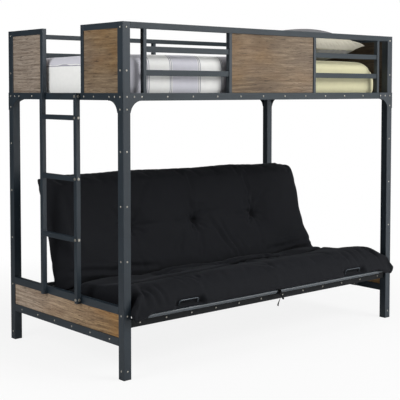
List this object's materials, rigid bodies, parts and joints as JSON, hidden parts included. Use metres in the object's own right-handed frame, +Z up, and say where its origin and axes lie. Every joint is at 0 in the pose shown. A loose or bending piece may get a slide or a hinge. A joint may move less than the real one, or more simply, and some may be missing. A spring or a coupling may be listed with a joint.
{
  "type": "sofa bunk bed",
  "caption": "Steel bunk bed with a ladder at one end, over a futon sofa that slides out and folds flat into a wide bed.",
  "frame": {"origin": "on the floor, under the middle of the whole piece of furniture", "axes": "+X runs along the bed away from the ladder, +Y from the open front to the back, +Z up"},
  "size_m": [2.0386, 1.123, 1.7509],
  "materials": {
    "frame_steel": "satin",
    "bright_steel": "satin",
    "deck_steel": "satin",
    "wood": "matte",
    "black_plastic": "matte",
    "sofa_cloth": "matte",
    "mattress_cloth": "matte",
    "sheet_cloth": "matte",
    "blanket_cloth": "matte",
    "lower_pillow_cloth": "matte",
    "upper_pillow_cloth": "matte"
  },
  "bodies": {
    "frame": {"post_front_left": "frame_steel", "post_front_right": "frame_steel", "post_rear_left": "frame_steel", "post_rear_right": "frame_steel", "post_caps": "frame_steel", "upper_side_rail_front": "frame_steel", "upper_side_rail_rear": "frame_steel", "lower_side_rail_front": "frame_steel", "lower_side_rail_rear": "frame_steel", "upper_end_rails": "frame_steel", "slat_ledges": "frame_steel", "bunk_slats": "frame_steel", "front_guard_rail": "frame_steel", "front_guard_stiles": "frame_steel", "front_guard_bars": "frame_steel", "rear_guard_rail": "frame_steel", "rear_guard_stiles": "frame_steel", "rear_guard_bars": "frame_steel", "left_guard_rails": "frame_steel", "left_guard_stiles": "frame_steel", "right_guard_rail": "frame_steel", "panel_top_rails": "frame_steel", "panel_foot_rails": "frame_steel", "corner_gussets": "frame_steel", "ladder_rails": "frame_steel", "ladder_rungs": "frame_steel", "guide_plates": "frame_steel", "guide_spacers": "frame_steel", "rest_brackets": "frame_steel", "rivets": "bright_steel", "ladder_bolts": "bright_steel", "guide_bolts": "bright_steel", "front_wood_panel": "wood", "left_wood_panels": "wood", "right_wood_panel": "wood", "lower_wood_panels": "wood", "foot_plugs": "black_plastic", "glide_pads": "black_plastic", "upper_mattress": "mattress_cloth", "fitted_sheet": "sheet_cloth", "blanket": "blanket_cloth", "lower_pillow": "lower_pillow_cloth", "upper_pillow": "upper_pillow_cloth"},
    "seat": {"seat_front_tube": "deck_steel", "seat_side_tubes": "deck_steel", "seat_rear_tube": "deck_steel", "seat_mesh": "deck_steel", "pad_hoops": "deck_steel", "seat_hinge_brackets": "bright_steel", "hinge_bushes": "black_plastic", "seat_pad": "sofa_cloth", "pad_tie": "sofa_cloth"},
    "back": {"back_lower_tube": "deck_steel", "back_top_tube": "deck_steel", "back_side_tubes": "deck_steel", "back_mesh": "deck_steel", "fold_levers": "bright_steel", "lever_bushes": "black_plastic", "back_pad": "sofa_cloth"}
  },
  "joints": [
    {"name": "seat_slide", "type": "slide", "parent": "frame", "child": "seat", "axis": [0, -1, 0], "range_m": [0, 0.36]},
    {"name": "back_fold", "type": "hinge", "parent": "seat", "child": "back", "pos_m": [0.01225, 0.2035, 0.2973], "axis": [-1, 0, 0], "range_deg": [0, 72]}
  ],
  "couplings": [
    {"joint": "back_fold", "follows": "seat_slide", "rad_per_m": 3.4907}
  ]
}
